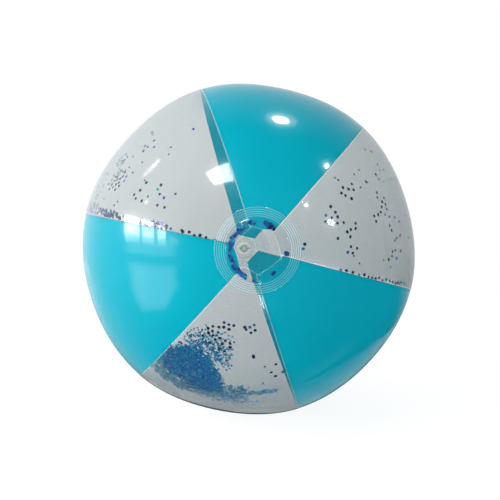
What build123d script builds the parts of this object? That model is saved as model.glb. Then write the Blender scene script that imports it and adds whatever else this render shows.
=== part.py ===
"""Inflatable beach ball, 400 mm across: six film panels, two end discs, an inflation valve and glitter.

The polar axis, on which the six panel tips meet, lies along Y. The front end disc faces -Y, and the rear
end disc, which carries the valve, faces +Y. +Z is up and the origin is the ball's centre. All sizes are in
millimetres.
"""

import math
import os
import random

from build123d import *

# Skin
ball_radius = 200.0
film = 0.3
weld_gap = 0.02  # between two films welded on each other
panel_count = 6
panel_angle = 360 / panel_count
first_panel_angle = 17.6  # from +X towards +Z, to the middle of the right-hand panel
seam_lap = 4.0  # how far two neighbouring panels overlap at their seam
tip_distance = 19.0  # from the polar axis to each panel's straight-cut tip
panel_names = [
    "clear_panel_right",
    "teal_panel_top",
    "clear_panel_upper_left",
    "teal_panel_lower_left",
    "clear_panel_bottom",
    "teal_panel_lower_right",
]

# End discs
disc_radius = 40.0
ring_radii = [31.0, 33.0, 35.0, 37.0, 39.0]
ring_half_width = 0.5
ring_height = 0.35
pocket_radius = 28.6  # of the front disc's middle, which stands off the panels' tips
pocket_height = 0.55
pocket_edge_radius = 30.0  # where the front disc is back on the panels

# Valve, with its stem pushed in
valve_hole_radius = 12.0
flange_radius = 18.0
flange_thickness = 0.6
stem_outer_radius = 5.0
stem_bore_radius = 3.5
stem_length = 16.0
mouth_y = ball_radius + 0.2
foot_y = mouth_y - stem_length
foot_radius = 5.4
foot_thickness = 0.8
lip_radius = 6.2
lip_thickness = 1.0
lip_below_mouth = 0.3
sock_thickness = 0.4
small_gap = 0.05  # between valve pieces that touch

# Plug and its strap
plug_hinge_x = 9.0
plug_hinge_y = mouth_y + small_gap
head_radius = 6.2
head_thickness = 1.75
peg_length = 5.0
peg_clearance = 0.08
tab_reach = 2.2
tab_width = 5.0
tab_thickness = 0.9
strap_thickness = 0.7
strap_width = 3.2
strap_bend_inner = 0.35

# Check flap inside the stem's foot
flap_radius = 4.6
flap_thickness = 0.4

# Glitter flakes
flake_corner_radius = 1.6
flake_thickness = 0.08
flake_wall_gap = 0.45  # between the skin and the flakes that cling to it
inner_radius = ball_radius - 2 * film - weld_gap - flake_wall_gap  # of the sphere that those flakes lie on
colour_step = 0.3  # each colour's flakes lie this much deeper than the last colour's, so that they never meet
cling_colours = ["blue", "navy", "green", "violet"]
cling_per_colour = 18
cling_half_width = 26  # degrees either side of a clear panel's middle
pocket_angles = (50, 250)  # the ends of the arc of flakes between the front end disc and the panels' tips
pocket_ring = (23.5, 26.0)  # how far from the polar axis they lie
pocket_flakes = 26

# The loose drift of glitter at the bottom: where its middle is, and how far it spreads each way
drift_angle = 257
drift_spread = 26
drift_from_front = 100
drift_towards_front = 22
drift_towards_rear = 34
drift_depth = 2.2
drift_layers = 3
drift_step = 0.5  # between two layers of the drift
drift_taper = 0.25  # of its spread that each layer loses
drift_colour_step = 0.15
drift_counts = {"blue": 64, "aqua": 32, "silver": 22}


def on_circle(radius, angle):
    """A point of the profile plane at that angle from the pole, in degrees."""
    a = math.radians(angle)
    return (radius * math.sin(a), radius * math.cos(a))


def arc_about_centre(radius, start, end):
    """An arc of the profile plane about the ball's centre, between two angles from the pole."""
    middle = (start + end) / 2
    return ThreePointArc(on_circle(radius, start), on_circle(radius, middle), on_circle(radius, end))


def pole_angle(radius, distance):
    """The angle from the pole of a point at that radius that lies at that distance from the polar axis."""
    return math.degrees(math.asin(distance / radius))


def turned(edges, arc=360):
    """The solid that a closed profile of the XY plane sweeps about the polar axis."""
    return revolve(make_face(edges), Axis.Y, arc)


def film_band(outer, inner, first, last, arc):
    """A piece of spherical film between two angles from the pole, turned through an arc that starts at +X."""
    return turned(
        [
            arc_about_centre(outer, first, last),
            Line(on_circle(outer, last), on_circle(inner, last)),
            arc_about_centre(inner, last, first),
            Line(on_circle(inner, first), on_circle(outer, first)),
        ],
        arc,
    )


def panel(middle_angle, outer):
    """One gore: film cut by two planes beside its seams and one across its two tips."""
    spread = panel_angle + 20  # wider than the gore, so that the planes cut all its edges
    first = pole_angle(outer, tip_distance / 2)
    band = film_band(outer, outer - film, first, 180 - first, spread)
    # a revolved band starts at +X and turns towards -Z, so its middle lies at -spread / 2
    band = Rot(Y=-(middle_angle + spread / 2)) * band
    half = panel_angle / 2
    reach = 1.5 * ball_radius

    def corner(along, side):
        """A corner of the cutter, at that distance along the gore's middle, on the edge beside one seam."""
        across = along * math.tan(math.radians(half)) + seam_lap / 2 / math.cos(math.radians(half))
        a = math.radians(middle_angle)
        return (
            along * math.cos(a) - side * across * math.sin(a),
            along * math.sin(a) + side * across * math.cos(a),
        )

    outline = [corner(tip_distance, -1), corner(reach, -1), corner(reach, 1), corner(tip_distance, 1)]
    cutter = extrude(Plane.XZ * make_face(Polyline(*outline, close=True)), 1.1 * ball_radius, both=True)
    return band & cutter


def end_disc(hole_radius, raised):
    """An end disc at +Y: film with weld rings near its rim, with a hole and a raised middle if given."""
    under = ball_radius + weld_gap
    over = under + film
    hole = pole_angle(over, hole_radius)
    pocket = pole_angle(over, pocket_radius)
    pocket_edge = pole_angle(over, pocket_edge_radius)
    rim = pole_angle(over, disc_radius)
    edges = [
        Line(on_circle(under + raised, hole), on_circle(over + raised, hole)),
        arc_about_centre(over + raised, hole, pocket),
        Line(on_circle(over + raised, pocket), on_circle(over, pocket_edge)),
    ]
    start = pocket_edge
    for ring in ring_radii:
        before = pole_angle(over, ring - ring_half_width)
        after = pole_angle(over, ring + ring_half_width)
        crest = on_circle(over + ring_height, pole_angle(over, ring))
        edges.append(arc_about_centre(over, start, before))
        edges.append(ThreePointArc(on_circle(over, before), crest, on_circle(over, after)))
        start = after
    edges.append(arc_about_centre(over, start, rim))
    edges.append(Line(on_circle(over, rim), on_circle(under, rim)))
    edges.append(arc_about_centre(under, rim, pocket_edge))
    edges.append(Line(on_circle(under, pocket_edge), on_circle(under + raised, pocket)))
    edges.append(arc_about_centre(under + raised, pocket, hole))
    return turned(edges)


def valve_flange():
    """The ring of the valve that is welded to the underside of the rear end disc."""
    top = ball_radius
    first = pole_angle(top, valve_hole_radius)
    last = pole_angle(top, flange_radius)
    return film_band(top, top - flange_thickness, first, last, 360)


def valve_sock():
    """The thin funnel that joins the flange to the stem's foot, and rolls out when the stem is pulled."""
    top_y = ball_radius - flange_thickness
    top_r = valve_hole_radius - small_gap
    foot_r = foot_radius + small_gap
    return turned(
        [
            Polyline(
                (top_r, top_y),
                (foot_r + sock_thickness, foot_y),
                (foot_r, foot_y),
                (foot_r, foot_y + foot_thickness),
                (top_r - sock_thickness, top_y),
                close=True,
            )
        ]
    )


def valve_stem():
    """The tube that takes the pump's nozzle, with a lip under its mouth and a foot at its inner end."""
    lip_top = mouth_y - lip_below_mouth
    return turned(
        [
            Polyline(
                (stem_bore_radius, mouth_y),
                (stem_outer_radius, mouth_y),
                (stem_outer_radius, lip_top),
                (lip_radius, lip_top),
                (lip_radius, lip_top - lip_thickness),
                (stem_outer_radius, lip_top - lip_thickness),
                (stem_outer_radius, foot_y + foot_thickness),
                (foot_radius, foot_y + foot_thickness),
                (foot_radius, foot_y),
                (stem_bore_radius, foot_y),
                close=True,
            )
        ]
    )


def peg_radius(depth):
    """The peg's radius at a depth, on a circle about the hinge, so that the peg swings clear of the bore."""
    reach = plug_hinge_x + stem_bore_radius - peg_clearance
    return math.sqrt(reach**2 - (depth + plug_hinge_y - mouth_y) ** 2) - plug_hinge_x


def valve_plug():
    """The stopper: a flat head with a pull tab, and a round-nosed peg that fills the stem's mouth."""
    under = plug_hinge_y
    top = under + head_thickness
    peg_end = under - peg_length
    body = turned(
        [
            Line((0, top), (head_radius, top)),
            Line((head_radius, top), (head_radius, under)),
            Line((head_radius, under), (peg_radius(0), under)),
            ThreePointArc(
                (peg_radius(0), under),
                (peg_radius(peg_length / 2), under - peg_length / 2),
                (peg_radius(peg_length), peg_end),
            ),
            Line((peg_radius(peg_length), peg_end), (0, peg_end)),
            Line((0, peg_end), (0, top)),
        ]
    )
    tab_length = tab_reach + head_radius / 2
    tab_x = -(head_radius / 2 + tab_length / 2)
    tab = Pos(tab_x, top - tab_thickness / 2, 0) * Box(tab_length, tab_thickness, tab_width)
    return body + tab


def plug_strap():
    """The bent strap that ties the plug's head to the stem's lip."""
    bend_outer = strap_bend_inner + strap_thickness
    bend_x = plug_hinge_x - strap_bend_inner
    start_x = lip_radius + small_gap
    low, high = plug_hinge_y - bend_outer, plug_hinge_y + bend_outer
    outline = make_face(
        [
            Line((start_x, low), (bend_x, low)),
            ThreePointArc((bend_x, low), (bend_x + bend_outer, plug_hinge_y), (bend_x, high)),
            Line((bend_x, high), (start_x, high)),
            Line((start_x, high), (start_x, high - strap_thickness)),
            Line((start_x, high - strap_thickness), (bend_x, high - strap_thickness)),
            ThreePointArc(
                (bend_x, high - strap_thickness),
                (bend_x + strap_bend_inner, plug_hinge_y),
                (bend_x, low + strap_thickness),
            ),
            Line((bend_x, low + strap_thickness), (start_x, low + strap_thickness)),
            Line((start_x, low + strap_thickness), (start_x, low)),
        ]
    )
    return extrude(outline, strap_width / 2, both=True)


def check_flap():
    """The soft disc that closes the stem's inner end and swings into the ball when air is blown in."""
    disc = Cylinder(flap_radius, flap_thickness, rotation=(90, 0, 0))
    return Pos(0, foot_y - small_gap - flap_thickness / 2, 0) * disc


def flake_at(position, spin):
    """A hexagonal flake whose face looks at the ball's centre, turned by spin in its own plane."""
    hexagon = extrude(RegularPolygon(flake_corner_radius, 6), flake_thickness / 2, both=True)
    return Plane(origin=position, z_dir=position) * Rot(Z=spin) * hexagon


def wall_point(direction_angle, from_pole, radius):
    """A point near the wall, at an angle from +X towards +Z, and at another from the front pole."""
    a, p = math.radians(direction_angle), math.radians(from_pole)
    return Vector(
        radius * math.sin(p) * math.cos(a),
        -radius * math.cos(p),
        radius * math.sin(p) * math.sin(a),
    )


def clinging_glitter(colour_number):
    """Single flakes of one colour that cling to the inside of the three clear panels."""
    chance = random.Random(colour_number)
    flakes = []
    for _ in range(cling_per_colour):
        middle = first_panel_angle + chance.choice([0, 2, 4]) * panel_angle
        angle = middle + chance.uniform(-cling_half_width, cling_half_width)
        from_pole = math.degrees(math.acos(chance.uniform(-0.9, 0.9)))
        place = wall_point(angle, from_pole, inner_radius - colour_step * colour_number)
        flakes.append(flake_at(place, chance.uniform(0, 60)))
    return Compound(children=apart(flakes))


def apart(flakes):
    """The flakes of a list that keep a flake's width from all earlier ones."""
    kept = []
    for flake in flakes:
        centre = flake.center()
        if all((centre - other.center()).length > 2 * flake_corner_radius for other in kept):
            kept.append(flake)
    return kept


def pocket_glitter():
    """Flakes caught between the front end disc and the panels, in an arc along the panels' tips."""
    chance = random.Random(len(cling_colours))
    radius = ball_radius + pocket_height / 2
    start, end = pocket_angles
    flakes = []
    for step in range(pocket_flakes):
        angle = start + (end - start) * step / pocket_flakes
        place = wall_point(angle, pole_angle(radius, chance.uniform(*pocket_ring)), radius)
        flakes.append(flake_at(place, chance.uniform(0, 60)))
    return Compound(children=apart(flakes))


def glitter_drift(colour_number, count):
    """One colour of the loose drift of flakes that has slid to the lowest part of the ball."""
    chance = random.Random(colour_number)
    flakes = []
    for _ in range(count):
        layer = chance.randrange(drift_layers)
        shrink = 1 - drift_taper * layer
        angle = drift_angle + shrink * chance.triangular(-drift_spread, drift_spread)
        along = chance.triangular(-drift_towards_front, drift_towards_rear, 0)
        from_pole = drift_from_front + shrink * along
        depth = drift_depth + drift_colour_step * colour_number + drift_step * layer
        place = wall_point(angle, from_pole, inner_radius - depth)
        flakes.append(flake_at(place, chance.uniform(0, 60)))
    return Compound(children=apart(flakes))


def all_parts():
    """Every sub-part by its node's name."""
    parts = {}
    for number, name in enumerate(panel_names):
        # clear panels lap over teal ones
        outer = ball_radius if name.startswith("clear") else ball_radius - film - weld_gap
        parts[name] = panel(first_panel_angle + number * panel_angle, outer)
    parts["front_end_disc"] = Rot(Z=180) * end_disc(0, pocket_height)
    parts["rear_end_disc"] = end_disc(valve_hole_radius, 0)
    parts["valve_flange"] = valve_flange()
    parts["valve_sock"] = valve_sock()
    parts["valve_stem"] = valve_stem()
    parts["plug_strap"] = plug_strap()
    parts["valve_plug"] = valve_plug()
    parts["check_flap"] = check_flap()
    for number, colour in enumerate(cling_colours):
        parts[f"clinging_glitter_{colour}"] = clinging_glitter(number)
    parts["pocket_glitter"] = pocket_glitter()
    for number, (colour, count) in enumerate(drift_counts.items()):
        parts[f"glitter_drift_{colour}"] = glitter_drift(number, count)
    return parts


os.makedirs("parts", exist_ok=True)
for node, shape in all_parts().items():
    export_step(shape, f"parts/{node}.step")
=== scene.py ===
import random
from math import asin, cos, degrees, floor, pi, radians, sin, sqrt, tan

import bmesh
import bpy
from mathutils import Matrix, Vector


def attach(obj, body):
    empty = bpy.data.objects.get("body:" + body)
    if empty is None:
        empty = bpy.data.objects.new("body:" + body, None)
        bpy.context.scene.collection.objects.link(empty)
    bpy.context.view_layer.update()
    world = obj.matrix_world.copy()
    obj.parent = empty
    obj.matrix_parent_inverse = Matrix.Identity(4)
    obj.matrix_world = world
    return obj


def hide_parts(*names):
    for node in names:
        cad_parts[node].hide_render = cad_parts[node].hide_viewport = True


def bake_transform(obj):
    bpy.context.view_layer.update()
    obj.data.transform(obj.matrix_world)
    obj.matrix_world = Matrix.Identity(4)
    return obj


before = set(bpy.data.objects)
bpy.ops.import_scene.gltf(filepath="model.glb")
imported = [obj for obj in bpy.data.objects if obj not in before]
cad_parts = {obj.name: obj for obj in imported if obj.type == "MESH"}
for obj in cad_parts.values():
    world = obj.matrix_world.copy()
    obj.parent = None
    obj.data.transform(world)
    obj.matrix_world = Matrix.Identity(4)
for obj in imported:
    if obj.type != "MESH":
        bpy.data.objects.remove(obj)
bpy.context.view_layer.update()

# ---------------- driving dimensions, in metres and degrees
MM = 0.001
BALL_RADIUS = 200 * MM
FILM = 0.3 * MM
WELD_GAP = 0.02 * MM
PANEL_ANGLE = 60.0
FIRST_PANEL_ANGLE = 17.6  # from +X towards +Z, to the middle of the right-hand panel
SEAM_LAP = 4 * MM
TIP_DISTANCE = 19 * MM
SEAM_RISE = 1.65 * MM  # how far the seams stand proud of a round ball, and the panels' middles lie below it
PANEL_BULGE = [0.0, 0.0, 0.0, 1.9, 0.0, 1.1]  # millimetres that each panel's middle is blown out further
BEAD_HEIGHT = 0.15 * MM
TIP_LINE = 0.12  # how wide the pale line is along each panel's cut tip, in degrees from the pole: the pale welded lines' material, partly painted highlight

# The seams of the unevenly inflated skin, from the upper right one on: degrees round from their even places,
# and millimetres that their front ends stand aside
SEAM_SWAY = [0.4, -0.9, 0.9, 0.4, -0.1, -2.2]
FRONT_SHIFT = [3.0, -1.6, 1.0, -2.0, -6.5, -1.5]
PANELS = [
    "clear_panel_right",
    "teal_panel_top",
    "clear_panel_upper_left",
    "teal_panel_lower_left",
    "clear_panel_bottom",
    "teal_panel_lower_right",
]

DARK_SEAM_PANEL = "clear_panel_upper_left"  # this panel's second seam gets no pale welded line, which is partly painted highlight

# The lines along a panel's edge, in millimetres from the cut edge, from where the strips are counted too
CLEAR_EDGE_LINES = [0.0, 1.3, 2.6, 3.9, 4.2, 4.5, 6.0]
TEAL_EDGE_LINES = [0.0, 0.35, 0.7, 1.4, 2.6, 3.8, 5.0]
LAP_STRIPS = 3  # of clear film: the lap over the teal film
BEAD_LINE = 4  # of clear film: the raised middle of the weld
WELD_STRIPS_END = 5  # of clear film: the pale weld line, partly painted highlight, runs from the lap to here
GROOVE_SHADE_STRIPS = 2  # of teal film: the dark line beside the weld, painted shade
PANEL_ROWS = 121
PANEL_MIDDLE_COLUMNS = 30

# Material slots. Slot 0 is the film itself.
# the pale welded lines' material, partly painted highlight
PALE_SLOT = 1
LAP_SLOT = 2  # of a clear panel
GROOVE_SHADE_SLOT = 2  # of a teal panel: the painted shade beside the weld
INSIDE_SLOT = 3  # of a teal panel
RING_SLOT = 1  # of an end disc: its pale ring lines, partly painted highlight
PRESSED_SLOT = 2  # of an end disc, where it is pressed onto the panels

DISC_RADIUS = 40 * MM
RING_RADII = [r * MM for r in (31, 33, 35, 37, 39)]
FLANGE_WELDS = [14 * MM, 16 * MM]  # the rear disc's welds over the valve's flange
RING_HALF_WIDTH = 0.19 * MM
RING_HEIGHT = 0.035 * MM
POCKET_RADIUS = 28.6 * MM
POCKET_HEIGHT = 0.55 * MM
POCKET_EDGE = 30 * MM
PINHOLE = 0.2 * MM  # where a disc without a hole ends, so that its mesh has no pole

FLAKE_RADIUS = 1.75 * MM
FLAKE_THICKNESS = 0.09 * MM
FLAKE_GAP = 0.5 * MM
CLING_SPACING = 4.4 * MM
CLING_TRIES = 20
LOOSE_GAP = 1.3 * MM  # between the film and the middles of the loose flakes
HEAP_FLAKES = 6000
HEAP_ANGLE = 245.5
HEAP_HALF_WIDTH = 13.5
HEAP_FROM_FRONT = 101.3  # where the heap's flat side lies, in degrees from the front pole
HEAP_REACH = 22.5  # how far it reaches from there towards the rear pole
HEAP_DEPTH = 3 * MM

VALVE_HOLE = 12 * MM
FLANGE_RADIUS = 18 * MM
FLANGE_THICKNESS = 0.6 * MM
STEM_OUTER = 5 * MM
STEM_BORE = 3.5 * MM
MOUTH_Y = BALL_RADIUS + 0.2 * MM
FOOT_Y = MOUTH_Y - 16 * MM
FOOT_RADIUS = 5.4 * MM
FOOT_THICKNESS = 0.8 * MM
LIP_RADIUS = 6.2 * MM
LIP_TOP = MOUTH_Y - 0.3 * MM
LIP_THICKNESS = 1 * MM
MOUTH_CHAMFER = 0.5 * MM
GRIP_RINGS = 3
HINGE_X = 9 * MM
HINGE_Y = MOUTH_Y + 0.05 * MM
HEAD_RADIUS = 6.2 * MM
HEAD_THICKNESS = 1.75 * MM
PEG_LENGTH = 5 * MM
PEG_GAP = 0.08 * MM
STRAP_INNER = 0.35 * MM  # the strap's two faces, from the hinge's axis
STRAP_OUTER = 1.05 * MM
STRAP_HALF_WIDTH = 1.6 * MM
FLAP_RADIUS = 4.6 * MM

FLOOR = -BALL_RADIUS

# The layers of a bright card: each one's size and share of the brightness
LAMP_LAYERS = ((1.0, 0.96), (1.9, 0.04))
SOFT_LAYERS = ((1.0, 0.25), (0.93, 0.25), (0.86, 0.25), (0.78, 0.25))
PANE_LAYERS = ((1.0, 0.7), (0.9, 0.3))
HIGH_WINDOW_LAYERS = ((1.0, 0.6), (0.85, 0.4))

# The film's gloss: its share seen head on, what grazing angles add to that, and how steeply
GLOSS_HEAD_ON = 0.045
GLOSS_GRAZING = 0.7
GLOSS_POWER = 4.5

# The camera, in ball radii and degrees
CAMERA_DISTANCE = 3.5
CAMERA_AZIMUTH = -2.3
CAMERA_ELEVATION = 0.3
CAMERA_SHIFT = (0.002, -0.002)
LENS = 40.0

# Each foil's colour when dark, middling and bright, how metallic it is, and how strongly it shines
FOILS = {
    "blue": ((0.0, 0.01, 0.08), (0.003, 0.05, 0.3), (0.05, 0.3, 0.7), 0.1, 0.5),
    # the drift's blue: a brighter copy of the clinging flakes' blue foil, painted light making up for the
    # light the heap doesn't get
    "drift_blue_painted_light": ((0.0, 0.12, 0.75), (0.0, 0.42, 1.0), (0.0, 0.95, 1.0), 0.0, 0.1),
    "navy": ((0.001, 0.002, 0.012), (0.004, 0.008, 0.06), (0.02, 0.03, 0.25), 0.1, 0.5),
    "green": ((0.001, 0.012, 0.012), (0.004, 0.06, 0.06), (0.02, 0.4, 0.3), 0.1, 0.5),
    "violet": ((0.01, 0.004, 0.1), (0.03, 0.015, 0.5), (0.2, 0.15, 0.9), 0.1, 0.5),
    "aqua": ((0.02, 0.25, 0.4), (0.1, 0.5, 0.65), (0.5, 0.9, 0.95), 0.5, 0.5),
    "pocket_navy": ((0.002, 0.01, 0.06), (0.004, 0.04, 0.2), (0.01, 0.1, 0.4), 0.1, 0.5),
    "pocket_blue": ((0.0, 0.05, 0.25), (0.0, 0.12, 0.42), (0.02, 0.3, 0.65), 0.1, 0.5),
    "pocket_aqua": ((0.0, 0.12, 0.3), (0.01, 0.26, 0.45), (0.08, 0.5, 0.65), 0.1, 0.5),
    # silver: pale flakes standing in for the glints of the foil, painted highlight
    "silver": ((0.3, 0.66, 0.9), (0.45, 0.84, 1.0), (0.85, 0.98, 1.0), 0.2, 0.5),
}


# ---------------- geometry helpers
def sway(angle, from_front):
    """How far round the inflated skin has shifted there, in degrees, between two seams' own shifts."""
    place = (angle - FIRST_PANEL_ANGLE - PANEL_ANGLE / 2) / PANEL_ANGLE
    before = floor(place)
    share = place - before

    def between(shifts):
        return shifts[before % len(shifts)] * (1 - share) + shifts[(before + 1) % len(shifts)] * share

    p = radians(from_front)
    aside = between(FRONT_SHIFT) * MM * max(cos(p), 0) ** 1.5
    return between(SEAM_SWAY) + degrees(aside / max(BALL_RADIUS * sin(p), TIP_DISTANCE))


def lobe(angle, from_front):
    """How far the inflated skin stands proud of a round ball there: out at the seams, in between them."""
    place = (angle - FIRST_PANEL_ANGLE + PANEL_ANGLE / 2) / PANEL_ANGLE
    wave = cos(2 * pi * place)
    bulge = PANEL_BULGE[floor(place) % len(PANEL_BULGE)] * MM * (1 - wave) / 2
    return (SEAM_RISE * wave + bulge) * sin(radians(from_front)) ** 2


def on_skin(angle, from_front, depth=0.0, swayed=True):
    """A point of the skin, or depth under it. angle is from +X towards +Z, from_front from the front pole."""
    radius = BALL_RADIUS + lobe(angle, from_front) - depth
    a = radians(angle + (sway(angle, from_front) if swayed else 0.0))
    p = radians(from_front)
    off_axis = radius * sin(p)
    return Vector((off_axis * cos(a), -radius * cos(p), off_axis * sin(a)))


def place_in_scene(name, data):
    made = bpy.data.objects.new(name, data)
    bpy.context.scene.collection.objects.link(made)
    return made


def mesh_piece(name, points, faces, materials, slots=None, shade_smooth=True):
    """A mesh object made of those points and faces, with a material slot for each face if given."""
    mesh = bpy.data.meshes.new(name)
    mesh.from_pydata(points, [], faces)
    for made in materials:
        mesh.materials.append(made)
    if slots:
        mesh.polygons.foreach_set("material_index", slots)
    mesh.polygons.foreach_set("use_smooth", [shade_smooth] * len(mesh.polygons))
    mesh.validate()
    mesh.update()
    return place_in_scene(name, mesh)


def closed_shell(name, rows, columns, outer, inner, materials, slot_at, wrap=False):
    """A thin closed shell between two grids of points, given as functions of row and column."""
    points = [outer(r, c) for r in range(rows) for c in range(columns)]
    points += [inner(r, c) for r in range(rows) for c in range(columns)]
    under = rows * columns
    faces, slots = [], []

    def put(corners, row, column, face="edge"):
        faces.append(corners)
        slots.append(slot_at(row, column, face))

    spans = columns if wrap else columns - 1
    for r in range(rows - 1):
        for c in range(spans):
            d = (c + 1) % columns
            a, b, e, f = r * columns + c, r * columns + d, (r + 1) * columns + d, (r + 1) * columns + c
            put((a, b, e, f), r, c, "outer")
            put((under + f, under + e, under + b, under + a), r, c, "inner")
    for c in range(spans):
        d = (c + 1) % columns
        last = (rows - 1) * columns
        put((c, under + c, under + d, d), 0, c)
        put((last + d, under + last + d, under + last + c, last + c), rows - 2, c)
    if not wrap:
        for r in range(rows - 1):
            a, b = r * columns, (r + 1) * columns
            put((b, under + b, under + a, a), r, 0)
            a, b = a + columns - 1, b + columns - 1
            put((a, under + a, under + b, b), r, columns - 2)
    return mesh_piece(name, points, faces, materials, slots)


# ---------------- materials
def add(tree, kind, props=None, shaders=(), **sockets):
    """A shader node. Its inputs are given by name or as i0 on, as values or as other nodes' outputs."""
    made = tree.nodes.new("ShaderNode" + kind)
    for key, value in (props or {}).items():
        setattr(made, key, value)
    for key, value in sockets.items():
        numbered = key[0] == "i" and key[1:].isdigit()
        socket = made.inputs[int(key[1:]) if numbered else key.replace("_", " ")]
        if isinstance(value, bpy.types.NodeSocket):
            tree.links.new(value, socket)
        else:
            socket.default_value = value
    for slot, shader in zip([s for s in made.inputs if s.type == "SHADER"], shaders):
        tree.links.new(shader, slot)
    return made


def shade(tree, kind, props=None, shaders=(), **sockets):
    """The first output of a new shader node."""
    return add(tree, kind, props, shaders, **sockets).outputs[0]


def ramp(tree, value, *stops):
    """A colour ramp over a value. Each stop is a position and a colour."""
    made = add(tree, "ValToRGB", Fac=value)
    elements = made.color_ramp.elements
    while len(elements) < len(stops):
        elements.new(0.5)
    for element, (position, colour) in zip(elements, stops):
        element.position = position
        element.color = (*colour, 1)
    return made.outputs["Color"]


def maths(tree, operation, *values):
    numbered = {f"i{k}": value for k, value in enumerate(values)}
    return shade(tree, "Math", {"operation": operation}, **numbered)


def noise(tree, coords, scale, detail=2.0):
    return add(tree, "TexNoise", Vector=coords, Scale=scale, Detail=detail).outputs["Fac"]


def empty_tree(owner):
    """The node tree of a material or a world, with nothing in it."""
    owner.use_nodes = True
    owner.node_tree.nodes.clear()
    return owner.node_tree


def start_material(name):
    """A new material, its node tree, and the coordinates of the piece's own mesh."""
    made = bpy.data.materials.new(name)
    tree = empty_tree(made)
    return made, tree, add(tree, "TexCoord").outputs["Object"]


def by_ray(tree, seen, mirrored_look, lit):
    """What the camera sees, what gloss sees and what lights the scene, as one shader."""
    path = add(tree, "LightPath")
    hidden = shade(tree, "MixShader", Fac=path.outputs["Is Glossy Ray"], shaders=(lit, mirrored_look))
    return shade(tree, "MixShader", Fac=path.outputs["Is Camera Ray"], shaders=(hidden, seen))


def film_gloss(tree, coords, body, ripple=0.03, sharp=0.055):
    """Puts the film's gloss over its body: a sharp one with a soft glow, stronger at grazing angles."""
    ripples = add(tree, "TexNoise", Vector=coords, Scale=14.0, Detail=0.0, Roughness=0.4).outputs["Fac"]
    bump = add(tree, "Bump", Strength=ripple, Distance=0.02, Height=ripples).outputs["Normal"]
    facing = add(tree, "LayerWeight", Blend=0.5).outputs["Facing"]
    grazing = maths(tree, "POWER", facing, GLOSS_POWER)
    share = maths(tree, "MULTIPLY_ADD", grazing, GLOSS_GRAZING, GLOSS_HEAD_ON)
    bright = shade(tree, "BsdfGlossy", Roughness=sharp, Normal=bump)
    soft = shade(tree, "BsdfGlossy", Roughness=0.2, Normal=bump)
    gloss = shade(tree, "MixShader", Fac=0.3, shaders=(bright, soft))
    top = shade(tree, "MixShader", Fac=share, shaders=(body, gloss))
    add(tree, "OutputMaterial", Surface=top)


def film_body(tree, cloud, level, tints, scatters, haze, haze_at_rim, backlit=0.4):
    """Clear or tinted film: what it lets through, by a level from 0 to 1, and the haze that it scatters."""
    tint = ramp(tree, level, (0.0, tints[0]), (1.0, tints[1]))
    through = shade(tree, "BsdfTransparent", Color=tint)
    scatter = ramp(tree, cloud, (0.3, scatters[0]), (0.7, scatters[1]))
    front = shade(tree, "BsdfDiffuse", Color=scatter)
    back = shade(tree, "BsdfTranslucent", Color=scatter)
    scattered = shade(tree, "MixShader", Fac=backlit, shaders=(front, back))
    facing = add(tree, "LayerWeight", Blend=0.5).outputs["Facing"]
    rim = maths(tree, "POWER", facing, 3.0)
    share = maths(tree, "MULTIPLY_ADD", rim, haze_at_rim - haze, haze)
    return shade(tree, "MixShader", Fac=share, shaders=(through, scattered))


def clear_film(name, dark, light, haze, haze_at_rim):
    """Clear vinyl, a little greyer towards the lower right and clearer towards the upper left: painted shade,
    following the key light from the upper left.
    """
    made, tree, coords = start_material(name)
    # painted shade: the tint is clearer the further a point lies this way, towards the key light
    to_light = (-0.75, 0.0, 0.66)
    across = add(tree, "VectorMath", {"operation": "DOT_PRODUCT"}, i0=coords, i1=to_light).outputs["Value"]
    cloud = noise(tree, coords, 9.0, 3.0)
    mixed = maths(tree, "MULTIPLY_ADD", cloud, 0.04, across)
    level = shade(tree, "MapRange", i0=mixed, i1=-0.14, i2=0.18)
    scatters = ((0.6, 0.66, 0.67), (0.68, 0.73, 0.74))
    film_gloss(tree, coords, film_body(tree, cloud, level, (dark, light), scatters, haze, haze_at_rim))
    return made


def pressed_lap():
    """Clear film pressed onto the teal film, where it all but vanishes."""
    made, tree, coords = start_material("pressed_lap")
    cloud = noise(tree, coords, 9.0)
    tint = ramp(tree, cloud, (0.3, (0.97, 0.99, 0.99)), (0.7, (1.0, 1.0, 1.0)))
    add(tree, "OutputMaterial", Surface=shade(tree, "BsdfTransparent", Color=tint))
    return made


def weld_and_highlight(name, dark, light):
    """The pressed, welded line of a seam, which scatters from dark to light over what shows through it; its
    pale part is added on top of all that shows through, partly painted highlight.
    """
    made, tree, coords = start_material(name)
    cloud = noise(tree, coords, 30.0)
    tint = ramp(tree, cloud, (0.3, (0.93, 0.97, 0.98)), (0.7, (1, 1, 1)))
    clear = shade(tree, "BsdfTransparent", Color=tint)
    pale = shade(tree, "BsdfDiffuse", Color=ramp(tree, cloud, (0.3, dark), (0.7, light)))
    film_gloss(tree, coords, shade(tree, "AddShader", shaders=(clear, pale)), ripple=0.1)
    return made


def teal_film():
    """Teal vinyl, which lets through little more than a glow."""
    made, tree, coords = start_material("teal_film")
    cloud = noise(tree, coords, 9.0, 3.0)
    tints = ((0.0, 0.42, 0.52), (0.0, 0.46, 0.56))
    scatters = ((0.0, 0.53, 0.67), (0.0, 0.58, 0.72))
    film_gloss(tree, coords, film_body(tree, cloud, cloud, tints, scatters, 0.93, 0.96, 0.5))
    return made


def teal_inside():
    """The inner face of the teal film, which adds only its gloss."""
    made, tree, coords = start_material("teal_inside")
    cloud = noise(tree, coords, 9.0)
    tint = ramp(tree, cloud, (0.3, (0.9, 1, 1)), (0.7, (0.95, 1, 1)))
    film_gloss(tree, coords, shade(tree, "BsdfTransparent", Color=tint))
    return made


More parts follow.
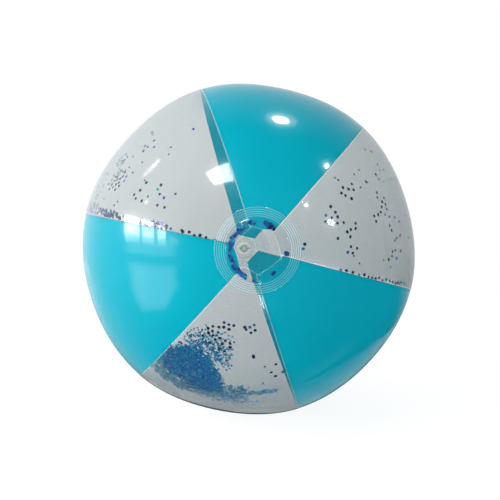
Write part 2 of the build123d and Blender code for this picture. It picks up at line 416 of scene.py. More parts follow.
def groove_shade():
    """A dark line along the teal film's edge beside its seam: painted shade of a pressed-in line that the
    mesh doesn't have.
    """
    made, tree, coords = start_material("groove_shade")
    shade = noise(tree, coords, 40.0)
    colour = ramp(tree, shade, (0.3, (0.0, 0.16, 0.2)), (0.7, (0.0, 0.22, 0.27)))
    shader = add(tree, "BsdfPrincipled", Base_Color=colour, Roughness=0.3)
    add(tree, "OutputMaterial", Surface=shader.outputs[0])
    return made


def valve_vinyl(name, dark, light):
    """Soft moulded vinyl, which lets through between dark and light of each colour."""
    made, tree, coords = start_material(name)
    cloud = noise(tree, coords, 60.0, 3.0)
    scatters = ((0.68, 0.73, 0.73), (0.76, 0.8, 0.8))
    film_gloss(tree, coords, film_body(tree, cloud, cloud, (dark, light), scatters, 0.05, 0.45), sharp=0.12)
    return made


def foil(name, dark, middle, bright, metal, shine):
    """Metallised glitter, where each flake has its own tone between dark and bright."""
    made, tree, coords = start_material(name)
    tone = add(tree, "Attribute", {"attribute_name": "tone"}).outputs["Fac"]
    grain = noise(tree, coords, 900.0, 1.0)
    mixed = maths(tree, "MULTIPLY_ADD", grain, 0.16, tone)
    colour = ramp(tree, mixed, (0.08, dark), (0.7, middle), (1.0, bright))
    look = {"Metallic": metal, "Roughness": 0.3, "Specular_IOR_Level": shine}
    shader = add(tree, "BsdfPrincipled", Base_Color=colour, **look)
    add(tree, "OutputMaterial", Surface=shader.outputs[0])
    return made


# ---------------- the skin
def panel(name, middle, outer_depth, materials):
    """One gore: film from pole to pole, cut straight across at its tips, with a lap beside each seam."""
    clear = name.startswith("clear")
    near_edge = CLEAR_EDGE_LINES if clear else TEAL_EDGE_LINES
    rows = PANEL_ROWS
    columns = 2 * len(near_edge) + PANEL_MIDDLE_COLUMNS

    def from_front_at(row, tip):
        """A row's angle from the front pole. The two rows at each cut tip are close together."""
        from_end = min(row, rows - 1 - row)
        if from_end <= 1:
            inward = TIP_LINE * from_end
            return tip + inward if row == from_end else 180 - tip - inward
        start = tip + TIP_LINE
        return start + (180 - 2 * start) * (row - 1) / (rows - 3)

    def angle_and_from_front(row, column):
        """Where that vertex lies, and which line in from the film's edge it is on."""
        side = -1 if column < columns / 2 else 1
        step = min(column, columns - 1 - column)
        # the film's width depends on where it is along the panel, and the cut tip on where it is across
        from_front = 90.0
        for _ in range(3):
            around = BALL_RADIUS * sin(radians(from_front))
            edge = PANEL_ANGLE / 2 + degrees(SEAM_LAP / 2 / around)
            if step < len(near_edge):
                offset = side * (edge - degrees(near_edge[step] * MM / around))
            else:
                inner = edge - degrees(near_edge[-1] * MM / around)
                share = (step - len(near_edge) + 1) / ((PANEL_MIDDLE_COLUMNS + 1) / 2)
                offset = side * inner * (1 - share)
            tip = degrees(asin(TIP_DISTANCE / BALL_RADIUS / cos(radians(offset))))
            from_front = from_front_at(row, tip)
        return middle + offset, from_front, step

    def outer(row, column):
        angle, from_front, step = angle_and_from_front(row, column)
        lift = BEAD_HEIGHT if clear and step == BEAD_LINE else 0.0
        return on_skin(angle, from_front, outer_depth - lift)

    def inner(row, column):
        angle, from_front, _ = angle_and_from_front(row, column)
        return on_skin(angle, from_front, outer_depth + FILM)

    def slot_at(row, column, face):
        """Clear film: the lap and the pale welded line, partly painted highlight. Teal film: the dark line at
        its edge, painted shade. Both: the tip.
        """
        strip = min(column, columns - 2 - column)
        if row == 0 and face != "inner":
            return PALE_SLOT
        if clear and strip < LAP_STRIPS:
            return LAP_SLOT
        if clear:
            dark_seam = name == DARK_SEAM_PANEL and column > columns / 2
            return PALE_SLOT if strip < WELD_STRIPS_END and face == "outer" and not dark_seam else 0
        if face == "inner":
            return INSIDE_SLOT
        return GROOVE_SHADE_SLOT if strip < GROOVE_SHADE_STRIPS and face == "outer" else 0

    return closed_shell(name + "_film", rows, columns, outer, inner, materials, slot_at)


def build_panels(clear_slots, teal_slots):
    for number, name in enumerate(PANELS):
        middle = FIRST_PANEL_ANGLE + number * PANEL_ANGLE
        if name.startswith("clear"):
            piece = panel(name, middle, 0.0, clear_slots)
        else:
            piece = panel(name, middle, FILM + WELD_GAP, teal_slots)
        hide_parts(name)
        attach(piece, "skin")


def disc_profile(hole, raised):
    """The disc's section from its hole to its rim: distance from the axis, height over the skin, and kind.

    A raised disc has a pocket over the panels' tips, and the other one has welds over the valve's flange.
    """
    stations = [(TIP_DISTANCE, raised, "tips"), (DISC_RADIUS, 0.0, "pressed")]
    if raised:
        r = hole
        while r < TIP_DISTANCE:
            stations.append((r, raised, "open"))
            r += 2 * MM
        stations += [(r * MM, raised, "pressed") for r in (23, 25, 27)]
        stations.append((POCKET_RADIUS, raised, "pressed"))
        stations.append(((POCKET_RADIUS + POCKET_EDGE) / 2, raised / 2, "pressed"))
        stations.append((POCKET_EDGE, 0.0, "pressed"))
    else:
        stations.append((hole, 0.0, "open"))
    for ring in RING_RADII if raised else FLANGE_WELDS + RING_RADII:
        for share in (-1.5, -1.0, -0.6, 0.0, 0.6, 1.0, 1.5):
            height = RING_HEIGHT * cos(min(abs(share), 1.0) * pi / 2)
            kind = "ridge" if abs(share) < 1 else "pressed"
            stations.append((ring + share * RING_HALF_WIDTH, height, kind))
    return sorted(stations)


def end_disc(name, facing, hole, raised, materials):
    """A clear disc over the panels' tips. facing is -1 for the front pole and 1 for the rear one."""
    stations = disc_profile(max(hole, PINHOLE), raised)
    columns = 144

    def point(row, column, lift):
        r, height, kind = stations[row]
        off_middle = facing * 360 * column / columns
        if kind == "tips":
            # the panels' straight cut tips make a hexagon
            r /= cos(radians((off_middle + PANEL_ANGLE / 2) % PANEL_ANGLE - PANEL_ANGLE / 2))
        tilt = degrees(asin(r / BALL_RADIUS))
        from_front = tilt if facing < 0 else 180 - tilt
        return on_skin(FIRST_PANEL_ANGLE + off_middle, from_front, -(WELD_GAP + height + lift))

    def outer(row, column):
        return point(row, column, FILM)

    def inner(row, column):
        r, height, _ = stations[row]
        return point(row, column, -height if r > POCKET_EDGE else 0.0)

    def slot_at(row, _, face):
        """Plain film inside the tips, and film pressed onto the panels outside them, with its ridges."""
        kind, next_kind = stations[row][2], stations[row + 1][2]
        if stations[row][0] < TIP_DISTANCE and next_kind != "ridge":
            return 0
        return RING_SLOT if face == "outer" and kind == next_kind == "ridge" else PRESSED_SLOT

    piece = closed_shell(name + "_film", len(stations), columns, outer, inner, materials, slot_at, wrap=True)
    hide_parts(name)
    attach(piece, "skin")


# ---------------- the glitter
def flake_mesh(name, flakes, foil_material):
    """Many hexagonal flakes as one mesh. Each flake is a place, an outward direction, a spin and a tone."""
    points, faces, tones = [], [], []
    for place, outward, spin, size, tone in flakes:
        turn = outward.to_track_quat("Z", "Y").to_matrix() @ Matrix.Rotation(spin, 3, "Z")
        first = len(points)
        for side in (1, -1):
            for corner in range(6):
                a = radians(60 * corner)
                local = Vector((size * cos(a), size * sin(a), side * FLAKE_THICKNESS / 2))
                points.append(place + turn @ local)
        faces.append(tuple(first + c for c in range(6)))
        faces.append(tuple(first + 11 - c for c in range(6)))
        for c in range(6):
            d = (c + 1) % 6
            faces.append((first + c, first + 6 + c, first + 6 + d, first + d))
        tones += [tone] * 12
    piece = mesh_piece(name, points, faces, [foil_material], shade_smooth=False)
    attribute = piece.data.attributes.new("tone", "FLOAT", "POINT")
    attribute.data.foreach_set("value", tones)
    return piece


def flake(chance, angle, from_front, depth, tilt, swayed=True):
    """A flake at that depth under the skin, tilted by chance up to tilt degrees from lying flat on it."""
    place = on_skin(angle, from_front, depth, swayed)
    lean = Vector((chance.uniform(-1, 1), chance.uniform(-1, 1), chance.uniform(-1, 1)))
    outward = (place.normalized() + lean * tan(radians(tilt))).normalized()
    size = FLAKE_RADIUS * chance.uniform(0.86, 1.06)
    return place, outward, radians(chance.uniform(0, 60)), size, chance.random()


def clinging_flakes(chance):
    """The flakes that cling to the clear panels, in clusters, along the seams and towards the rim."""
    right, upper_left, bottom = (FIRST_PANEL_ANGLE + n * PANEL_ANGLE for n in (0, 2, 4))
    right_seam = right - PANEL_ANGLE / 2
    left_seam = upper_left + PANEL_ANGLE / 2
    found = []
    # angle, its spread, from the front pole, its spread, count
    clusters = [
        (right + 15, 5, 32, 4, 7), (right + 7, 7, 23, 4, 9),
        (right - 5, 4, 26, 5, 6), (right + 2, 6, 43, 6, 12),
        (right - 8, 5, 48, 5, 7), (right - 16, 4, 26, 5, 4),
        (right - 12, 3, 12.5, 0.8, 2), (right + 19, 8, 49, 9, 8),
        (right - 18, 2, 46, 5, 6), (right_seam + 1.8, 0.5, 40, 17, 18),
        (right - 6, 20, 64, 8, 46), (right, 26, 112, 20, 14),
        (upper_left - 19, 1, 42, 1, 1), (upper_left - 3, 4, 52, 6, 7),
        (upper_left + 8, 3, 58, 3, 15), (upper_left + 15, 4, 53, 5, 24),
        (upper_left + 13, 7, 34, 10, 13), (upper_left + 20, 6, 66, 5, 34),
        (upper_left + 8, 20, 110, 20, 12), (left_seam - 3.2, 1.6, 67, 8, 90),
        (left_seam - 2.6, 1.1, 50, 9, 70), (left_seam - 3.0, 1.5, 30, 6, 26),
        (left_seam - 3.2, 1.2, 15, 7, 8), (bottom - 6, 6, 22, 1.6, 5),
        (bottom + 11, 5, 21.6, 1.6, 6), (bottom - 4, 5, 28, 3.5, 7),
        (bottom + 13, 1, 30.6, 0.6, 2), (bottom - 14, 5, 26, 4, 10),
        (bottom + 24, 4, 38, 5, 4), (bottom, 24, 112, 20, 8),
    ]
    for angle, angle_spread, from_front, spread, count in clusters:
        for _ in range(count):
            # a few tries to find a place that is clear of the other flakes
            for _ in range(CLING_TRIES):
                a = angle + angle_spread * chance.uniform(-1, 1)
                p = from_front + spread * chance.triangular(-1, 1)
                one = flake(chance, a, p, 2 * FILM + WELD_GAP + FLAKE_GAP, 6)
                if all((one[0] - other[0]).length > CLING_SPACING for other in found):
                    break
            found.append(one)
    return found


def pocket_flakes(chance):
    """The flakes between the front disc and the panels' tips."""
    found = []
    # start and end of each arc, its distance from the axis in millimetres, count
    arcs = [(118, 172, 24.8, 36), (172, 208, 25.5, 18), (212, 246, 26, 40), (96, 112, 26, 9)]
    arcs += [(52, 76, 25, 26), (-12, -2, 26.5, 4), (-58, -50, 26, 2), (262, 266, 27.5, 1)]
    for start, end, distance, count in arcs:
        for _ in range(count):
            r = (distance + chance.triangular(-2.6, 2.2)) * MM
            p = degrees(asin(r / BALL_RADIUS))
            depth = -chance.uniform(0.14, 0.44) * MM
            found.append(flake(chance, chance.uniform(start, end), p, depth, 0, swayed=False))
    return found


def clear_of_all(angle, from_front):
    """How much deeper than the skin there the lowest panels' middles lie, so that flakes can slide round."""
    return lobe(angle, from_front) + SEAM_RISE * sin(radians(from_front)) ** 2


def drift_flakes(chance):
    """The loose flakes: a dense heap, looser banks round it and pale flakes low on the left, most of them
    given the pale silver foil as painted highlight.
    """
    heap, banks, lit_pale_flakes = [], [], []
    wall = 2 * FILM + LOOSE_GAP
    for _ in range(HEAP_FLAKES):
        # the heap's outline is a flat-bottomed hump
        along = chance.uniform(-1, 1)
        height = HEAP_REACH * sqrt(1 - abs(along) ** 2.2) * (1 - 0.15 * max(along, 0))
        up = chance.random() ** 1.15
        a = HEAP_ANGLE + HEAP_HALF_WIDTH * along + chance.gauss(0, 0.9)
        p = HEAP_FROM_FRONT + 5 * max(-along, 0) ** 2 + height * up + chance.gauss(0, 1.4)
        depth = wall + HEAP_DEPTH * chance.random() * (1 - up) * (1 - abs(along))
        heap.append(flake(chance, a, p, depth + clear_of_all(a, p), 22))
    # angle, its spread, from the front pole, its spread, count
    clouds = [
        (245, 11, 129, 8, 190), (240, 7, 124, 6, 40),
        (256, 7, 125, 9, 150), (252, 13, 134, 6, 50),
        (233, 4, 112, 8, 110), (272, 12, 101.5, 2.2, 150),
        (264, 7, 104, 3.5, 120), (250, 9, 98, 4, 200),
        (260, 11, 98, 4.5, 380), (263, 14, 93, 4, 120),
    ]
    # the flakes low on the left lie in the light and are mostly given the pale silver foil: painted highlight
    lit_pale_clouds = [(236, 9, 97, 6, 330), (231.5, 2.5, 104, 5, 50), (243, 9, 95, 5, 260)]
    for found, listed in ((banks, clouds), (lit_pale_flakes, lit_pale_clouds)):
        for angle, angle_spread, from_front, spread, count in listed:
            for _ in range(count):
                a = angle + angle_spread * chance.triangular(-1, 1)
                p = from_front + spread * chance.triangular(-1, 1)
                depth = wall + 0.8 * MM * chance.random()
                found.append(flake(chance, a, p, depth + clear_of_all(a, p), 14))
    return heap, banks, lit_pale_flakes


def share_out(chance, flakes, weights):
    """The flakes of a list dealt out by chance into len(weights) lists, in proportion to the weights."""
    piles = [[] for _ in weights]
    for one in flakes:
        piles[chance.choices(range(len(weights)), weights)[0]].append(one)
    return piles


def build_glitter(foils):
    """All the flakes, each group dealt out by chance into its colours."""
    chance = random.Random(7)
    clinging = share_out(chance, clinging_flakes(chance), [0.28, 0.38, 0.22, 0.12])
    for colour, pile in zip(["blue", "navy", "green", "violet"], clinging):
        piece = flake_mesh(f"clinging_flakes_{colour}", pile, foils[colour])
        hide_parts(f"clinging_glitter_{colour}")
        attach(piece, "skin")
    pocket = share_out(chance, pocket_flakes(chance), [0.3, 0.5, 0.2])
    for number, (colour, pile) in enumerate(zip(["navy", "blue", "aqua"], pocket)):
        piece = flake_mesh(f"pocket_flakes_{colour}", pile, foils["pocket_" + colour])
        if number == 0:
            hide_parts("pocket_glitter")
        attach(piece, "skin")
    # the heap, the banks and the pale lit flakes, each into blue, aqua and silver; the silver is painted
    # highlight
    shares = [[0.9, 0.055, 0.045], [0.42, 0.28, 0.3], [0.08, 0.2, 0.72]]
    piles = [share_out(chance, flakes, weights) for flakes, weights in zip(drift_flakes(chance), shares)]
    drift = [heap + banks + lit_pale_flakes for heap, banks, lit_pale_flakes in zip(*piles)]
    # the drift's blue flakes take the brighter copy of the blue foil: painted light
    for colour, pile in zip(["blue", "aqua", "silver"], drift):
        piece = flake_mesh(f"drift_flakes_{colour}", pile, foils["drift_blue_painted_light" if colour == "blue" else colour])
        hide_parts(f"glitter_drift_{colour}")
        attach(piece, "loose_glitter")


# ---------------- the valve
def closed_up(piece):
    """The piece with the points that lie in one place joined and its faces turned outwards."""
    body = bmesh.new()
    body.from_mesh(piece.data)
    bmesh.ops.remove_doubles(body, verts=body.verts, dist=0.001 * MM)
    bmesh.ops.recalc_face_normals(body, faces=body.faces)
    body.to_mesh(piece.data)
    body.free()
    return piece


def round_edges(piece, width, segments):
    rounded = piece.modifiers.new("rounded", "BEVEL")
    rounded.width = width
    rounded.segments = segments
    rounded.limit_method = "ANGLE"
    rounded.angle_limit = radians(30)


def lathe(name, profile, materials, bevel=0.15 * MM, spokes=72):
    """A closed profile of (distance from the polar axis, y) points turned about that axis."""
    points = []
    for r, y in profile:
        for k in range(spokes):
            a = 2 * pi * k / spokes
            points.append(Vector((r * cos(a), y, r * sin(a))))
    faces = []
    for i in range(len(profile)):
        j = (i + 1) % len(profile)
        if profile[i][0] == 0 and profile[j][0] == 0:
            continue
        for k in range(spokes):
            m = (k + 1) % spokes
            faces.append((i * spokes + k, j * spokes + k, j * spokes + m, i * spokes + m))
    piece = closed_up(mesh_piece(name, points, faces, materials))
    if bevel:
        round_edges(piece, bevel, 3)
    return piece


def lofted(name, rings, material, shade_smooth=False):
    """A closed bar through those rings of four corners each."""
    points = [corner for ring in rings for corner in ring]
    faces = []
    for first in range(0, len(points) - 4, 4):
        for k in range(4):
            after = first + (k + 1) % 4
            faces.append((first + k, first + k + 4, after + 4, after))
    faces += [(0, 1, 2, 3), tuple(range(len(points) - 1, len(points) - 5, -1))]
    return closed_up(mesh_piece(name, points, faces, [material], shade_smooth=shade_smooth))


def valve_piece(piece, body, node=None):
    """Hides the node that a piece replaces, and attaches the piece to the body that it rides, where it has
    them.
    """
    if node:
        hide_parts(node)
    if body:
        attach(piece, body)


def on_sphere(radius, distance):
    """The point of the profile plane on a sphere about the ball's centre, that far from the polar axis."""
    return (distance, sqrt(radius**2 - distance**2))


def peg_radius(depth):
    """The peg's radius at a depth, on a circle about the hinge, so that it swings clear of the bore."""
    reach = HINGE_X + STEM_BORE - PEG_GAP
    return sqrt(reach**2 - depth**2) - HINGE_X


def build_stem(vinyl):
    """The tube, with its lip, grip rings and foot."""
    profile = [
        (STEM_BORE + MOUTH_CHAMFER, MOUTH_Y),
        (STEM_OUTER, MOUTH_Y),
        (STEM_OUTER, LIP_TOP),
        (LIP_RADIUS, LIP_TOP),
        (LIP_RADIUS, LIP_TOP - LIP_THICKNESS),
        (STEM_OUTER, LIP_TOP - LIP_THICKNESS),
    ]
    for ring in range(GRIP_RINGS):
        y = MOUTH_Y - (3.5 + 2.4 * ring) * MM
        profile += [(STEM_OUTER, y + 0.5 * MM), (STEM_OUTER + 0.22 * MM, y), (STEM_OUTER, y - 0.5 * MM)]
    profile += [
        (STEM_OUTER, FOOT_Y + FOOT_THICKNESS),
        (FOOT_RADIUS, FOOT_Y + FOOT_THICKNESS),
        (FOOT_RADIUS, FOOT_Y),
        (STEM_BORE, FOOT_Y),
        (STEM_BORE, MOUTH_Y - MOUTH_CHAMFER),
    ]
    valve_piece(lathe("valve_stem_tube", profile, [vinyl]), "stem", "valve_stem")


def build_plug(vinyl):
    """The dished head with its peg, and the pull tab."""
    under = HINGE_Y
    top = under + HEAD_THICKNESS
    dish = top - 0.25 * MM
    profile = [(0, dish), (2.2 * MM, dish), (3.0 * MM, top), (HEAD_RADIUS, top), (HEAD_RADIUS, under)]
    for step in range(7):
        depth = PEG_LENGTH * step / 6
        profile.append((peg_radius(depth), under - depth))
    profile.append((0, under - PEG_LENGTH))
    valve_piece(lathe("valve_plug_head", profile, [vinyl]), "plug", "valve_plug")

    # the tab's stations: x, half width and rib height, with ribs for the fingers at its wider end
    stations = [(-3.0, 2.0, 0.0), (-5.5, 2.0, 0.0), (-6.6, 2.3, 0.0)]
    stations += [(-6.6 - 0.2 * k, 2.5, 0.16 * (k % 2)) for k in range(1, 9)]
    rings = []
    for x, half, rib in stations:
        low, high = top - 0.9 * MM, top - (0.2 - rib) * MM
        x, half = x * MM, half * MM
        rings.append([(x, low, -half), (x, low, half), (x, high, half), (x, high, -half)])
    tab = lofted("valve_plug_tab", rings, vinyl)
    round_edges(tab, 0.12 * MM, 2)
    valve_piece(tab, "plug")


def build_strap(vinyl):
    """The strap from the stem's lip round the hinge to the plug's head, in short steps so that it curves
    round the hinge.
    """
    inner, outer, half = STRAP_INNER, STRAP_OUTER, STRAP_HALF_WIDTH
    start_x = LIP_RADIUS + 0.05 * MM
    bend_x = HINGE_X - inner
    # the middle that each section turns about, and the direction from there to the strap
    sections = [((start_x + (bend_x - start_x) * k / 4, HINGE_Y), (0, -1)) for k in range(4)]
    for step in range(17):
        a = radians(-90 + 180 * step / 16)
        sections.append(((bend_x, HINGE_Y), (cos(a), sin(a))))
    sections += [((bend_x + (start_x - bend_x) * k / 4, HINGE_Y), (0, 1)) for k in range(1, 5)]
    corners = [(inner, -half), (inner, half), (outer, half), (outer, -half)]
    rings = [[(x + r * dx, y + r * dy, z) for r, z in corners] for (x, y), (dx, dy) in sections]
    piece = lofted("plug_strap_band", rings, vinyl, shade_smooth=True)
    valve_piece(piece, None, "plug_strap")
    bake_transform(piece)


def build_sock(vinyl):
    """The thin funnel from the flange to the stem's foot. On the real valve it rolls out with the stem; here
    it is not hung on the stem's body.
    """
    top = BALL_RADIUS - FLANGE_THICKNESS
    wide, narrow = VALVE_HOLE - 0.05 * MM, FOOT_RADIUS + 0.05 * MM
    steps = 24
    outside, inside = [], []
    for step in range(steps + 1):
        t = step / steps
        eased = t * t * (3 - 2 * t)
        r = wide + (narrow - wide) * (0.35 * t + 0.65 * eased)
        y = top + (FOOT_Y - top) * t
        outside.append((r, y))
        inside.append((r - 0.4 * MM * (1 - t) ** 0.5, y + 0.4 * MM * t))
    piece = lathe("valve_sock_funnel", outside + inside[::-1], [vinyl], bevel=0)
    valve_piece(piece, None, "valve_sock")
    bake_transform(piece)


def build_flange(vinyl):
    """The ring that is welded to the rear disc."""
    over, under = BALL_RADIUS, BALL_RADIUS - FLANGE_THICKNESS
    radii = [VALVE_HOLE, *FLANGE_WELDS, FLANGE_RADIUS]
    profile = [on_sphere(over, r) for r in radii] + [on_sphere(under, r) for r in radii[::-1]]
    valve_piece(lathe("valve_flange_ring", profile, [vinyl]), "skin", "valve_flange")


def build_flap(vinyl):
    """The disc that shuts the stem's inner end, a little thicker in its middle."""
    face = FOOT_Y - 0.05 * MM
    back = face - 0.4 * MM
    profile = [(0, face), (FLAP_RADIUS, face), (FLAP_RADIUS, back)]
    profile += [(3.2 * MM, back - 0.1 * MM), (0, back - 0.15 * MM)]
    valve_piece(lathe("check_flap_disc", profile, [vinyl], bevel=0.1 * MM), "flap", "check_flap")


def build_valve():
    thick = valve_vinyl("valve_vinyl", (0.86, 0.905, 0.88), (0.92, 0.95, 0.93))
    thin = valve_vinyl("thin_valve_vinyl", (0.94, 0.96, 0.955), (0.98, 0.985, 0.985))
    build_stem(thick)
    build_plug(thick)
    build_strap(thick)
    build_sock(thin)
    build_flange(thin)
    build_flap(thick)


# ---------------- stage, light and camera
def camera_place():
    return BALL_RADIUS * CAMERA_DISTANCE * view_direction(CAMERA_AZIMUTH, CAMERA_ELEVATION)


def view_direction(azimuth, elevation):
    a, e = radians(azimuth), radians(elevation)
    return Vector((sin(a) * cos(e), -cos(a) * cos(e), sin(e)))


def mirrored(right, up):
    """The place on the ball that many radii from its middle in the view, and the direction mirrored there."""
    eye = camera_place()
    forward = -eye.normalized()
    side = forward.cross(Vector((0, 0, 1))).normalized()
    above = side.cross(forward)
    reach = tan(asin(1 / CAMERA_DISTANCE))
    ray = (forward + reach * (right * side + up * above)).normalized()
    along = -eye.dot(ray)
    closest = (eye + along * ray).length
    along -= sqrt(max(BALL_RADIUS**2 - closest**2, 0))
    place = eye + along * ray
    normal = place.normalized()
    return place, ray - 2 * ray.dot(normal) * normal


def glow(strength):
    """Light that adds to what is behind it."""
    made = bpy.data.materials.new("glow")
    tree = empty_tree(made)
    light = shade(tree, "Emission", Color=(0.96, 1.0, 1.0, 1), Strength=strength)
    clear = shade(tree, "BsdfTransparent")
    add(tree, "OutputMaterial", Surface=shade(tree, "AddShader", shaders=(light, clear)))
    return made


def card(name, spots, strength, layers=((1.0, 1.0),), distance=2.4):
    """A bright card that shows in the ball's gloss as the shape with those corners, and nowhere else.

    It is made of layers, each with its size and its share of the strength, so that its edge can be soft.
    """
    middle = [sum(spot[k] for spot in spots) / len(spots) for k in (0, 1)]
    for number, (size, share) in enumerate(layers):
        points = []
        for spot in spots:
            place, direction = mirrored(*(middle[k] + size * (spot[k] - middle[k]) for k in (0, 1)))
            reach = distance * (1 + 0.01 * number)
            if direction.z < 0:
                reach = min(reach, (FLOOR + (5 + number) * MM - place.z) / direction.z)
            points.append(place + reach * direction)
        face = tuple(range(len(points)))
        made = mesh_piece(f"{name}_{number}", points, [face], [glow(strength * share)], shade_smooth=False)
        made.visible_camera = made.visible_diffuse = made.visible_shadow = made.visible_transmission = False


def round_card(name, right, up, width, height, tilt, strength, layers=LAMP_LAYERS):
    """A card that shows as an ellipse of that width and height, in ball radii, turned by tilt degrees."""
    spots = []
    t = radians(tilt)
    for step in range(20):
        a = 2 * pi * step / 20
        x, y = width / 2 * cos(a), height / 2 * sin(a)
        spots.append((right + x * cos(t) - y * sin(t), up + x * sin(t) + y * cos(t)))
    card(name, spots, strength, layers)


def rim_band(name, inner, outer, start, end, strength):
    """Cards that show as a band along the rim, between two radii and two angles, brighter outwards."""
    steps, fades = 10, 4
    for fade in range(fades):
        low = inner + (outer - inner) * fade / fades
        for step in range(steps):
            a, b = (radians(start + (end - start) * (step + k) / steps) for k in (0, 1))
            # the band narrows towards its two ends
            narrow = [low + (outer - low) * abs(2 * (step + k) / steps - 1) ** 2 for k in (0, 1)]
            corners = [(narrow[0], a), (outer, a), (outer, b), (narrow[1], b)]
            spots = [(r * cos(t), r * sin(t)) for r, t in corners]
            card(f"{name}_{fade}_{step}", spots, strength / fades, distance=1.6 + 0.02 * fade)


def left_window():
    """The panes of a window, the bright sky in their upper parts, and the paler view below."""
    # each pane's left and right edges, its top, where its bright part ends and where it has faded, strength
    panes = [
        (-0.742, -0.655, 0.215, 0.085, 0.035, 24),
        (-0.64, -0.567, 0.19, 0.07, 0.02, 20),
        (-0.549, -0.495, 0.155, 0.06, 0.01, 18),
        (-0.476, -0.42, 0.08, 0.04, 0.0, 3),
    ]
    for number, (left, right, top, bright_end, faded, strength) in enumerate(panes):
        pane = [(left, bright_end), (right, bright_end), (right, top - 0.02), (left, top)]
        card(f"window_pane_{number}", pane, strength, PANE_LAYERS)
        for step in range(3):
            low = bright_end + (faded - bright_end) * (step + 1) / 3
            fade = [(left, low), (right, low), (right, bright_end), (left, bright_end)]
            card(f"window_fade_{number}_{step}", fade, strength * 0.13)
    middle = [(-0.745, -0.035), (-0.43, -0.055), (-0.44, 0.04), (-0.742, 0.07)]
    card("window_middle", middle, 1.5, SOFT_LAYERS)
    low_part = [(-0.66, -0.37), (-0.5, -0.37), (-0.42, -0.22), (-0.43, -0.09)]
    low_part += [(-0.735, -0.075), (-0.715, -0.25)]
    card("window_low", low_part, 2.1, SOFT_LAYERS)
    brighter = [(-0.69, -0.31), (-0.63, -0.33), (-0.6, -0.1), (-0.7, -0.1)]
    card("window_low_bright", brighter, 0.9, SOFT_LAYERS)


def softbox(name, direction, distance, size, brightness, colour=(1.0, 1.0, 1.0)):
    """A large soft light that the gloss doesn't show. brightness is its radiance."""
    data = bpy.data.lights.new(name, "AREA")
    data.shape = "SQUARE"
    data.size = size
    data.energy = brightness * pi * size * size
    data.color = colour
    box = place_in_scene(name, data)
    towards = Vector(direction).normalized()
    box.location = distance * towards
    box.rotation_euler = towards.to_track_quat("Z", "Y").to_euler()
    box.visible_glossy = box.visible_camera = False


def lit_from(tree, direction, towards, start, end, low, high):
    """A brightness that runs from low to high as a direction turns towards another."""
    along = add(tree, "VectorMath", {"operation": "DOT_PRODUCT"}, i0=direction, i1=towards).outputs["Value"]
    return shade(tree, "MapRange", i0=along, i1=start, i2=end, i3=low, i4=high)


def mirrored_room(tree, direction):
    """How bright the gloss sees the room that way: dim, but bright behind the ball and to its left."""
    behind = lit_from(tree, direction, (0.0, 0.97, 0.25), 0.2, 0.98, 0.02, 1.0)
    left = lit_from(tree, direction, (-0.95, 0.3, 0.0), 0.3, 1.0, 0.0, 0.7)
    return maths(tree, "ADD", behind, left)


def build_world():
    """A white background, where gloss sees the room instead, and scattering a soft light from the left."""
    world = bpy.data.worlds.new("studio")
    bpy.context.scene.world = world
    tree = empty_tree(world)
    direction = add(tree, "TexCoord").outputs["Generated"]
    gloss_level = mirrored_room(tree, direction)
    room = shade(tree, "Background", Color=(0.93, 0.98, 1.0, 1), Strength=gloss_level)
    ambient = lit_from(tree, direction, (-0.9, -0.2, 0.4), -1.0, 1.0, 0.12, 0.85)
    soft = shade(tree, "Background", Color=(0.96, 0.99, 1.0, 1), Strength=ambient)
    white = shade(tree, "Background", Color=(1, 1, 1, 1), Strength=1.0)
    add(tree, "OutputWorld", Surface=by_ray(tree, white, room, soft))


def build_floor():
    """A pale floor out to the horizon. The gloss sees it as dim near the ball, and like the room far off."""
    made, tree, coords = start_material("floor")
    speckle = noise(tree, coords, 6.0)
    tone = ramp(tree, speckle, (0.3, (0.8, 0.8, 0.8)), (0.7, (0.82, 0.82, 0.82)))
    matt = shade(tree, "BsdfDiffuse", Color=tone)
    paler = shade(tree, "BsdfDiffuse", Color=(0.2, 0.2, 0.2, 1))
    glowing = shade(tree, "Emission", Strength=0.885)
    near_lit = shade(tree, "AddShader", shaders=(paler, glowing))
    outwards = add(tree, "VectorMath", {"operation": "NORMALIZE"}, i0=coords).outputs["Vector"]
    distance = add(tree, "VectorMath", {"operation": "LENGTH"}, i0=coords).outputs["Value"]
    white = shade(tree, "Emission", Strength=1.0)
    horizon = shade(tree, "MapRange", i0=distance, i1=1.0, i2=5.0)
    lit = shade(tree, "MixShader", Fac=horizon, shaders=(near_lit, white))
    fade = shade(tree, "MapRange", i0=distance, i1=0.2, i2=1.0, i3=0.7, i4=1.0)
    shown = maths(tree, "MULTIPLY", mirrored_room(tree, outwards), fade)
    far_off = shade(tree, "Emission", Color=(0.93, 0.98, 1.0, 1), Strength=shown)
    add(tree, "OutputMaterial", Surface=by_ray(tree, lit, far_off, matt))
    rings = [0.0, 0.3, 0.8, 2, 5, 15, 60]
    spokes = 48
    points = [Vector((0, 0, FLOOR))]
    for r in rings[1:]:
        for s in range(spokes):
            a = 2 * pi * s / spokes
            points.append(Vector((r * cos(a), r * sin(a), FLOOR)))
    faces = [(0, 1 + s, 1 + (s + 1) % spokes) for s in range(spokes)]
    for ring in range(len(rings) - 2):
        for s in range(spokes):
            t = (s + 1) % spokes
            a, b = 1 + ring * spokes, 1 + (ring + 1) * spokes
            faces.append((a + s, b + s, b + t, a + t))
    mesh_piece("floor", points, faces, [made])


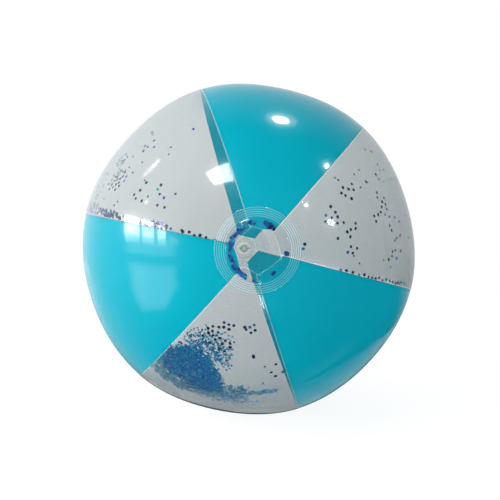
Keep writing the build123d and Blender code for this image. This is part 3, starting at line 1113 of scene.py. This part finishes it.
def build_light():
    softbox("key", (-0.88, -0.42, 0.2), 2.6, 2.0, 6.9)
    softbox("fill", (0.1, -0.95, 0.3), 3.2, 2.4, 0.65)
    softbox("back", (-0.3, 0.9, 0.3), 3.2, 2.6, 1.2)
    round_card("ceiling_lamp", 0.2, 0.79, 0.085, 0.042, -12, 50)
    round_card("side_lamp", 0.465, 0.50, 0.036, 0.036, 0, 50)
    round_card("small_lamp", 0.352, 0.252, 0.018, 0.028, 0, 45)
    round_card("far_lamp", 0.5, 0.157, 0.045, 0.035, 0, 16)
    round_card("slanted_lamp", -0.588, 0.5, 0.15, 0.03, 45, 3.2, SOFT_LAYERS)
    round_card("slanted_lamp_head", -0.565, 0.523, 0.07, 0.022, 45, 5, SOFT_LAYERS)
    round_card("left_lamp", -0.606, 0.3, 0.03, 0.02, 60, 6)
    round_card("low_streak", 0.07, -0.31, 0.1, 0.014, -70, 14)
    high_window = [(-0.223, 0.374), (-0.089, 0.403), (-0.132, 0.517), (-0.285, 0.452)]
    card("high_window", high_window, 16, HIGH_WINDOW_LAYERS)
    left_window()
    rim_band("low_rim", 0.86, 0.992, -130, -26, 1.05)
    rim_band("low_arc", 0.79, 0.86, -78, -38, 0.3)
    rim_band("left_rim", 0.84, 0.985, 184, 246, 0.4)


def build_camera():
    data = bpy.data.cameras.new("camera")
    data.lens = LENS
    data.sensor_width = 36
    data.shift_x, data.shift_y = CAMERA_SHIFT
    camera = place_in_scene("camera", data)
    camera.location = camera_place()
    camera.rotation_euler = (-camera_place()).to_track_quat("-Z", "Y").to_euler()
    bpy.context.scene.camera = camera


def main():
    scene = bpy.context.scene
    scene.view_settings.view_transform = "Standard"
    scene.cycles.transparent_max_bounces = 48
    scene.cycles.max_bounces = 12
    build_camera()
    build_world()
    build_floor()
    build_light()
    # the clear film's tint carries painted shade, darker towards the lower right
    clear = clear_film("clear_film", (0.79, 0.808, 0.815), (0.932, 0.944, 0.944), 0.012, 0.17)
    # the pale welded lines of the seams and of the disc's rings: partly painted highlight
    pale = weld_and_highlight("weld_and_highlight", (0.2, 0.34, 0.36), (0.32, 0.46, 0.48))
    ring = weld_and_highlight("ring_weld_and_highlight", (0.3, 0.64, 0.68), (0.42, 0.76, 0.8))
    build_panels([clear, pale, pressed_lap()], [teal_film(), pale, groove_shade(), teal_inside()])
    # the pressed film carries the same painted shade, fainter
    pressed = clear_film("pressed_film", (0.96, 0.98, 0.985), (0.98, 0.99, 0.99), 0.005, 0.04)
    end_disc("front_end_disc", -1, 0, POCKET_HEIGHT, [clear, ring, pressed])
    end_disc("rear_end_disc", 1, VALVE_HOLE, 0, [clear, ring, pressed])
    build_glitter({name: foil("foil_" + name, *values) for name, values in FOILS.items()})
    build_valve()


main()
